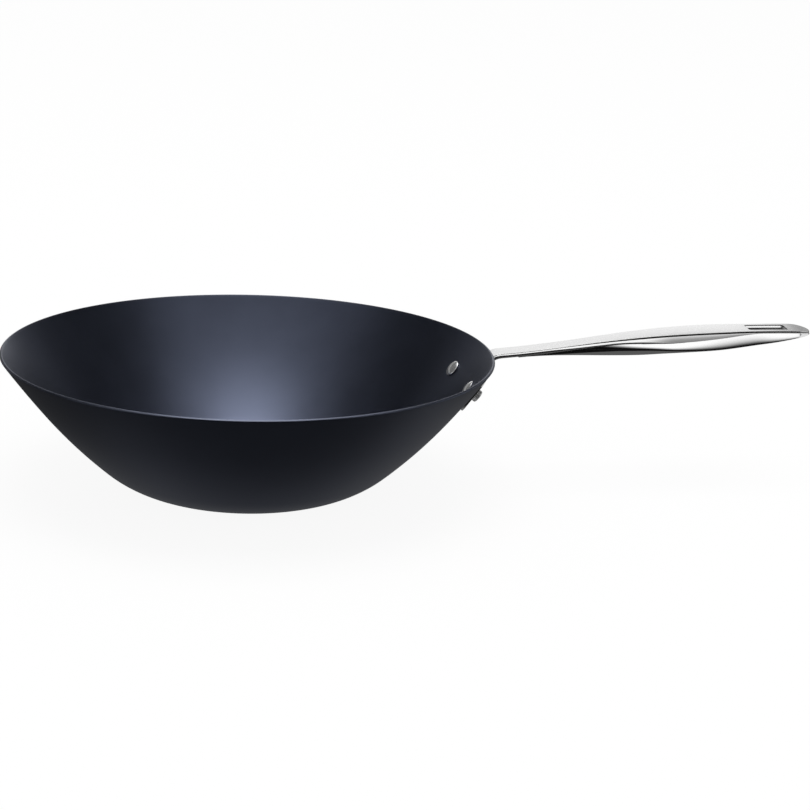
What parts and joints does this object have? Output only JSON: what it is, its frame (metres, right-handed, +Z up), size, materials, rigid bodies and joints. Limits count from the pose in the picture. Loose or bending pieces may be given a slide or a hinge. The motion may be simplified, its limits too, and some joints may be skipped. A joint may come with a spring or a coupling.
{
  "type": "wok",
  "caption": "Flat-bottomed black steel wok with a conical bowl and one long riveted stainless handle with a hanging slot, for stir-frying on a stovetop.",
  "frame": {"origin": "centre of the foot's flat underside, on the table", "axes": "+X along the handle, from the bowl to the tip; +Z up out of the bowl's mouth; +Y completes a right-handed frame"},
  "size_m": [0.51, 0.3024, 0.0978],
  "materials": {
    "black_steel": "satin blue-black oxide on pressed steel",
    "satin_steel": "satin stainless steel",
    "bright_steel": "polished stainless steel",
    "rivet_steel": "polished stainless steel"
  },
  "bodies": {
    "root": {"wok_bowl": "black_steel", "handle_strap": "satin_steel", "handle_belly": "bright_steel", "rivet_front": "rivet_steel", "rivet_rear": "rivet_steel"}
  },
  "joints": []
}
